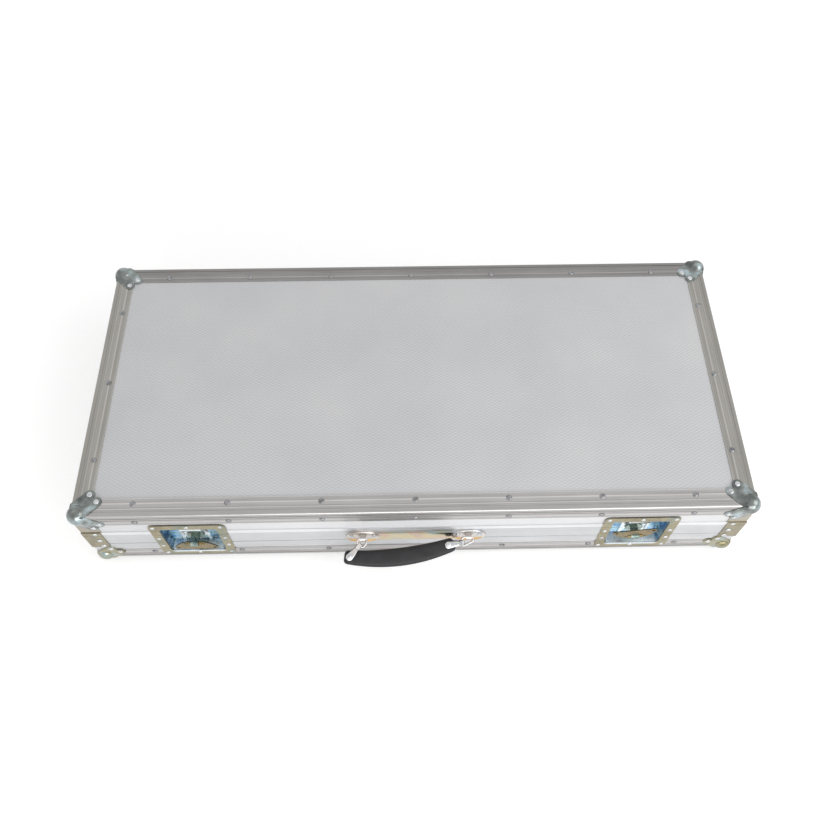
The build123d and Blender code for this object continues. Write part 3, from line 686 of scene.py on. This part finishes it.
# Grip
GRIP_BOW = 0.0105  # how far the middle bows out
GRIP_PAST = 0.009  # length beyond the rivets
GRIP_WIDTH, GRIP_BELLY = 0.0105, 0.0038  # half width at the ends, and what the middle adds
GRIP_THICK = 0.007  # half thickness
GRIP_SKIN = 0.0002  # room left inside the solid
GRIP_ROUND = 0.0055  # length over which the ends round off


def power(value, exponent):
    # A power that keeps the sign, for superellipses
    return abs(value) ** exponent * (1 if value >= 0 else -1)


def grip(build):
    # Superellipse sections between the two arcs of the bowed outline
    left, right = ENDS
    chord = (right - left).normalized()
    bow = Vector((chord.y, -chord.x))
    start, end = left - chord * GRIP_PAST, right + chord * GRIP_PAST
    length = (end - start).length
    steps, sides = 64, 28
    rings = []
    for step in range(steps + 1):
        t = 0.5 - 0.5 * cos(pi * step / steps)
        rise = 4 * t * (1 - t)
        point = start + chord * (length * t) + bow * (GRIP_BOW * rise)
        near = min(t, 1 - t) * length
        close = sqrt(max(0.0, 1 - (1 - min(1.0, near / GRIP_ROUND)) ** 2))
        wide = (GRIP_WIDTH + GRIP_BELLY * rise) * (0.45 + 0.55 * close) - GRIP_SKIN
        thick = (GRIP_THICK - GRIP_SKIN) * (0.35 + 0.65 * close)
        slope = 4 * GRIP_BOW * (1 - 2 * t) / length
        across = (bow - chord * slope).normalized()
        ring = []
        for side in range(sides):
            turn = 2 * pi * side / sides
            place = point + across * (power(cos(turn), 0.55) * wide)
            ring.append(build.verts.new(in_handle(place.x, place.y, power(sin(turn), 0.62) * thick)))
        rings.append(ring)
    for low, high in zip(rings, rings[1:]):
        bridge(build, low, high)
    build.faces.new(rings[0][::-1])
    build.faces.new(rings[-1])


piece("grip_body", grip, GRIP, "handle", ["handle_grip"], smooth=60)

# Clips' tongues and their rivets, over and under the grip
TONGUE_OUT, TONGUE_THICK, TONGUE_RADIUS = 0.0083, 0.0011, 0.0056
SMALL_HEAD = (0.0034, 0.0013)


def clip_flaps(build):
    # Tongues that widen from the bar and end round
    for bar, end in zip(BARS, ENDS):
        lean = HANDLE_TURN @ Vector((end - bar).normalized().to_3d())
        side = HANDLE_UP.cross(lean)
        reach = (end - bar).length
        tongue = [(0.0055, 0.0030), (0.0055, -0.0030), (reach - 0.006, -0.0046)]
        tongue += arc((reach, 0), TONGUE_RADIUS, -80, 80) + [(reach - 0.006, 0.0046)]
        for sign in (1, -1):
            place = in_handle(bar.x, bar.y, sign * TONGUE_OUT)
            plate(build, tongue[::sign], place, lean, side * sign, TONGUE_THICK)


piece("clip_tongues", clip_flaps, HANDLE, "handle")
grip_spots = [
    (in_handle(end.x, end.y, sign * (TONGUE_OUT + TONGUE_THICK)), HANDLE_UP * sign)
    for end in ENDS for sign in (1, -1)
]
rivets("grip_rivets", grip_spots, SMALL_HEAD, "handle", ["handle_rivets"])

# Pressed oval ends of the handle's plate: shares of the oval, and how far out
OVAL_WIDE, OVAL_HIGH, OVAL_STEPS = 0.027, 0.0192, 56
OVAL_RIM = ((1, 0), (1, 0.0012), (0.985, 0.0020), (0.95, 0.0024), (0.90, 0.0022), (0.86, 0.0018))
STRAP_OUT, STRAP_HEAD = 0.0018, (0.0032, 0.0012)


def ovals(build):
    turns = [2 * pi * step / OVAL_STEPS for step in range(OVAL_STEPS)]
    for middle in (-BRIDGE_X, BRIDGE_X):
        rings = []
        for share, out in OVAL_RIM:
            ring = []
            for turn in turns:
                x = middle + OVAL_WIDE * share * cos(turn)
                ring.append(build.verts.new((x, FRONT - out, PIVOT_Z + OVAL_HIGH * share * sin(turn))))
            rings.append(ring)
        for low, high in zip(rings, rings[1:]):
            bridge(build, low, high)
        build.faces.new(rings[-1])
        build.faces.new(rings[0][::-1])


piece("handle_ovals", ovals, HANDLE, "base")
strap_spots = [
    ((x, FRONT - STRAP_OUT, PIVOT_Z + 0.003), (0, -1, 0)) for x in (-0.1, -0.066, 0.066, 0.1)
]
rivets("strap_rivets", strap_spots, STRAP_HEAD, "base")

# Rivets on the three hinges
HINGE_X, HINGE_STEP, LEAF = 0.34, 0.026, 0.002
for body, height in (("base", -0.018), ("lid", 0.0186)):
    spots = [
        ((x + step, REAR + LEAF, SPLIT + height), (0, 1, 0))
        for x in (-HINGE_X, 0, HINGE_X) for step in (-HINGE_STEP, 0, HINGE_STEP)
    ]
    rivets(f"hinge_rivets_{body}", spots, SMALL_HEAD, body)

# Rubber feet: a moulded cone with a ring, and a recessed rivet under it
FOOT_IN = 0.075
FOOT_PROFILE = (
    (0, 0.0062), (0.0062, 0.0062), (0.0066, 0.0018), (0.0074, 0.0004), (0.0088, 0), (0.0142, 0),
    (0.0156, 0.0005), (0.0162, 0.0016), (0.0186, 0.0138), (0.0188, 0.0152), (0, 0.0152),
)
FOOT_RIVET_Z, FOOT_HEAD = 0.0060, (0.0056, 0.0018)
FEET = [Vector((sx * (SIDE - FOOT_IN), MID + sy * (HALF_DEPTH - FOOT_IN), 0)) for sx, sy in CORNERS]


def feet(build):
    for place in FEET:
        lathe(build, place, (0, 0, 1), FOOT_PROFILE, 48)


def foot_rivets(build):
    for place in FEET:
        dome(build, place + Vector((0, 0, FOOT_RIVET_Z)), (0, 0, -1), *FOOT_HEAD, 24)


piece("moulded_feet", feet, FOOT, "base", ["rubber_feet"])
piece("foot_rivets", foot_rivets, RIVET, "base")

# Foam lining: soft-edged slabs with a slight crown
FOAM_CELL, FOAM_CROWN, FOAM_THICK = 0.016, 0.0004, 0.020
NOTCH, NOTCH_DEEP = 0.0456, 0.0085  # half width and depth of the notch behind a latch
WALL_EDGE, PAD_EDGE = 0.004, 0.003  # radius of the soft edges


def soft_slab(low, high, edge):
    size = high - low
    centre = (low + high) / 2
    counts = [max(2, min(60, round(length / FOAM_CELL))) for length in size]

    def make(build):
        grid = {}

        def vert(spot):
            if spot not in grid:
                place = Vector([low[a] + size[a] * n / counts[a] for a, n in enumerate(spot)])
                core = Vector([min(max(place[a], low[a] + edge), high[a] - edge) for a in range(3)])
                away = place - core
                if away.length > edge:
                    place = core + away.normalized() * edge
                # A slow, uneven pull towards the middle, so that no side is quite flat
                wander = FOAM_CROWN * sin(place.x * 61 + place.z * 37) * cos(place.y * 53 + place.x * 17)
                pull = (centre - place).normalized() * (FOAM_CROWN + wander)
                grid[spot] = build.verts.new(place + pull)
            return grid[spot]

        # The two sides square to each axis, cell by cell
        for axis, count in enumerate(counts):
            first, second = [other for other in range(3) if other != axis]
            for side in (0, count):
                for i in range(counts[first]):
                    for j in range(counts[second]):
                        corners = []
                        for a, b in ((i, j), (i + 1, j), (i + 1, j + 1), (i, j + 1)):
                            spot = [side, side, side]
                            spot[first], spot[second] = a, b
                            corners.append(vert(tuple(spot)))
                        build.faces.new(corners)

    return make


def soft_slabs(name, slabs, body, node, edge):
    for at, (low, high) in enumerate(slabs):
        make = soft_slab(Vector(low), Vector(high), edge)
        made = piece(f"{name}_{at}", make, FOAM, body, [node], smooth=180)
        soften = made.modifiers.new("soften", "SUBSURF")
        soften.levels = 1
        soften.render_levels = 1


for body in ("base", "lid"):
    low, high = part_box(f"{body}_foam_ring")
    front_in, rear_in = low.y + FOAM_THICK, high.y - FOAM_THICK
    slabs = [
        ((low.x, rear_in, low.z), (high.x, high.y, high.z)),
        ((low.x, front_in, low.z), (low.x + FOAM_THICK, rear_in, high.z)),
        ((high.x - FOAM_THICK, front_in, low.z), (high.x, rear_in, high.z)),
    ]
    gaps = [(low.x, -LATCH_X - NOTCH), (NOTCH - LATCH_X, LATCH_X - NOTCH), (LATCH_X + NOTCH, high.x)]
    for start, end in gaps:
        slabs.append(((start, low.y, low.z), (end, front_in, high.z)))
    for x in (-LATCH_X, LATCH_X):
        slabs.append(((x - NOTCH, low.y + NOTCH_DEEP, low.z), (x + NOTCH, front_in, high.z)))
    soft_slabs(f"{body}_wall_foam", slabs, body, f"{body}_foam_ring", WALL_EDGE)
    soft_slabs(f"{body}_pad_foam", [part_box(f"{body}_foam_pad")], body, f"{body}_foam_pad", PAD_EDGE)

# Floor, which glows a little for the rays that show the background
FLOOR_HALF, FLOOR_GLOW = 6, 0.36
floor_mesh = bpy.data.meshes.new("floor")
floor_corners = [(sx * FLOOR_HALF, sy * FLOOR_HALF, 0) for sx, sy in CORNERS]
floor_mesh.from_pydata(floor_corners, [], [(0, 1, 2, 3)])
floor = bpy.data.objects.new("floor", floor_mesh)
bpy.context.scene.collection.objects.link(floor)
ground = Finish("pale_floor", rough=0.9, Specular_IOR_Level=0.1, Emission_Color=WHITE)
ground.colour(ground.ramp(ground.noise(0.6), (0.3, grey(0.93)), (0.7, grey(0.95))))
floor_mesh.materials.append(ground.material)


def background_rays(tree):
    # 1 for the rays that show the background: seen directly, mirrored or through glass
    paths = tree.nodes.new("ShaderNodeLightPath")
    either = paths.outputs["Is Camera Ray"]
    for kind in ("Is Glossy Ray", "Is Transmission Ray"):
        made = tree.nodes.new("ShaderNodeMath")
        made.operation = "MAXIMUM"
        tree.links.new(either, made.inputs[0])
        tree.links.new(paths.outputs[kind], made.inputs[1])
        either = made.outputs[0]
    return either


glow = ground.span(background_rays(ground.tree), 0, 1, 0, FLOOR_GLOW)
ground.link(glow, ground.shader.inputs["Emission Strength"])

# Sky: what it lights with, and how bright it looks
SKY_LIGHT, SKY_SEEN = 0.62, 1.0
world = bpy.data.worlds.new("studio")
bpy.context.scene.world = world
world.use_nodes = True
tree = world.node_tree
tree.nodes.clear()
level = tree.nodes.new("ShaderNodeMapRange")
tree.links.new(background_rays(tree), level.inputs["Value"])
level.inputs["To Min"].default_value = SKY_LIGHT
level.inputs["To Max"].default_value = SKY_SEEN
sky = tree.nodes.new("ShaderNodeBackground")
sky.inputs["Color"].default_value = WHITE
tree.links.new(level.outputs[0], sky.inputs["Strength"])
tree.links.new(sky.outputs[0], tree.nodes.new("ShaderNodeOutputWorld").inputs[0])


def lamp(name, size, power, place, aim):
    data = bpy.data.lights.new(name, "AREA")
    data.shape = "RECTANGLE"
    data.size, data.size_y = size
    data.energy = power
    made = bpy.data.objects.new(name, data)
    made.location = place
    made.rotation_euler = (Vector(aim) - Vector(place)).to_track_quat("-Z", "Y").to_euler()
    bpy.context.scene.collection.objects.link(made)


lamp("front_soft", size=(2.6, 1.2), power=26.0, place=(0.5, -2.2, 0.9), aim=(0, 0, 0.1))
lamp("right_soft", size=(1.6, 1.6), power=14.0, place=(1.9, -0.6, 1.9), aim=(0.2, 0, 0.1))

# Camera, fitted to the corners in the photo
lens = bpy.data.cameras.new("photo_camera")
lens.lens = 36.2225
lens.sensor_width = 36.0
lens.sensor_fit = "HORIZONTAL"
camera = bpy.data.objects.new("photo_camera", lens)
camera.location = (-0.009215, -0.721189, 1.317838)
camera.rotation_euler = Euler((radians(30.03836), radians(-0.20665), radians(-1.14698)), "XYZ")
bpy.context.scene.collection.objects.link(camera)
bpy.context.scene.camera = camera
bpy.context.scene.view_settings.view_transform = "Standard"
